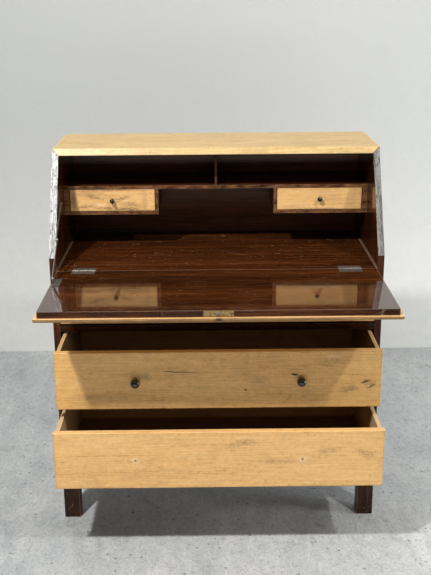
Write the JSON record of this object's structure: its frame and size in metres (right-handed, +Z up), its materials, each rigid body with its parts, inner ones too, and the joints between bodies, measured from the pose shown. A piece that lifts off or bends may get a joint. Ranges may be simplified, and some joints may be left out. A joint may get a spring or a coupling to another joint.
{
  "type": "secretary desk",
  "caption": "Fall-front secretary desk: dark case on square legs, pale drawer fronts, hinged writing flap on a folding stay, inner shelf with small drawers.",
  "frame": {"origin": "centre of the footprint on the floor, measured with the flap hanging open and the drawers as they stand at rest", "axes": "+Z up, -Y to the front where the flap falls open, +X to the sitter's right"},
  "size_m": [0.9, 0.7236, 1.064],
  "materials": {
    "blond_wood": "satin varnished birch, worn",
    "dark_wood": "dark mahogany stain, glossy polish",
    "drawer_wood": "plain unfinished softwood, aged",
    "back_board": "thin stained hardboard",
    "steel": "dull, slightly tarnished",
    "brass": "tarnished",
    "knob_black": "black lacquered turned wood"
  },
  "bodies": {
    "carcass": {"back_panel": "back_board", "bottom_board": "dark_wood", "casing_left": "dark_wood", "casing_right": "dark_wood", "desk_board": "dark_wood", "drawer_rails": "dark_wood", "drawer_runners": "drawer_wood", "gable_left": "dark_wood", "gable_right": "dark_wood", "hinge_leaves_desk": "steel", "hinge_pins": "steel", "leg_front_left": "dark_wood", "leg_front_right": "dark_wood", "leg_rear_left": "dark_wood", "leg_rear_right": "dark_wood", "screws_desk": "steel", "shelf": "dark_wood", "shelf_divider": "dark_wood", "stay_stud": "steel", "strike_plate": "brass", "top_board": "blond_wood"},
    "drawer_top": {"drawer_top_back": "drawer_wood", "drawer_top_floor": "drawer_wood", "drawer_top_front": "blond_wood", "drawer_top_knobs": "knob_black", "drawer_top_side_left": "drawer_wood", "drawer_top_side_right": "drawer_wood"},
    "drawer_middle": {"drawer_middle_back": "drawer_wood", "drawer_middle_floor": "drawer_wood", "drawer_middle_front": "blond_wood", "drawer_middle_knobs": "knob_black", "drawer_middle_side_left": "drawer_wood", "drawer_middle_side_right": "drawer_wood"},
    "drawer_bottom": {"drawer_bottom_back": "drawer_wood", "drawer_bottom_floor": "drawer_wood", "drawer_bottom_front": "blond_wood", "drawer_bottom_side_left": "drawer_wood", "drawer_bottom_side_right": "drawer_wood"},
    "small_drawer_left": {"small_drawer_left_back": "drawer_wood", "small_drawer_left_floor": "drawer_wood", "small_drawer_left_front": "blond_wood", "small_drawer_left_knob": "knob_black", "small_drawer_left_sides": "drawer_wood"},
    "small_drawer_right": {"small_drawer_right_back": "drawer_wood", "small_drawer_right_floor": "drawer_wood", "small_drawer_right_front": "blond_wood", "small_drawer_right_knob": "knob_black", "small_drawer_right_sides": "drawer_wood"},
    "flap": {"flap_core": "dark_wood", "flap_face": "blond_wood", "hinge_leaves_flap": "steel", "screws_flap": "steel", "lock_plate": "brass", "lock_case": "steel", "escutcheon": "brass", "stay_bracket": "steel"},
    "lock_bolt": {"lock_bolt": "steel"},
    "stay_upper": {"stay_upper_link": "steel"},
    "stay_lower": {"stay_lower_link": "steel", "stay_rivet": "steel"}
  },
  "joints": [
    {"name": "flap_hinge", "type": "hinge", "parent": "carcass", "child": "flap", "pos_m": [0, -0.03825, 0.75741], "axis": [1, 0, 0], "range_deg": [-117.98, 0]},
    {"name": "drawer_top_slide", "type": "slide", "parent": "carcass", "child": "drawer_top", "axis": [0, -1, 0], "range_m": [0, 0.3]},
    {"name": "drawer_middle_slide", "type": "slide", "parent": "carcass", "child": "drawer_middle", "axis": [0, -1, 0], "range_m": [-0.138, 0.162]},
    {"name": "drawer_bottom_slide", "type": "slide", "parent": "carcass", "child": "drawer_bottom", "axis": [0, -1, 0], "range_m": [-0.218, 0.082]},
    {"name": "small_drawer_left_slide", "type": "slide", "parent": "carcass", "child": "small_drawer_left", "axis": [0, -1, 0], "range_m": [0, 0.15]},
    {"name": "small_drawer_right_slide", "type": "slide", "parent": "carcass", "child": "small_drawer_right", "axis": [0, -1, 0], "range_m": [0, 0.15]},
    {"name": "lock_bolt_slide", "type": "slide", "parent": "flap", "child": "lock_bolt", "axis": [0, -1, 0], "range_m": [0, 0.008]},
    {"name": "stay_upper_pivot", "type": "hinge", "parent": "carcass", "child": "stay_upper", "pos_m": [-0.432, 0.07575, 0.917], "axis": [1, 0, 0], "range_deg": [0, 87.02]},
    {"name": "stay_lower_pivot", "type": "hinge", "parent": "flap", "child": "stay_lower", "pos_m": [-0.432, -0.13825, 0.76841], "axis": [1, 0, 0], "range_deg": [0, 68.05]}
  ],
  "couplings": [
    {"joint": "stay_upper_pivot", "follows": "flap_hinge", "ratio": -0.73587},
    {"joint": "stay_lower_pivot", "follows": "flap_hinge", "ratio": -0.57505}
  ]
}
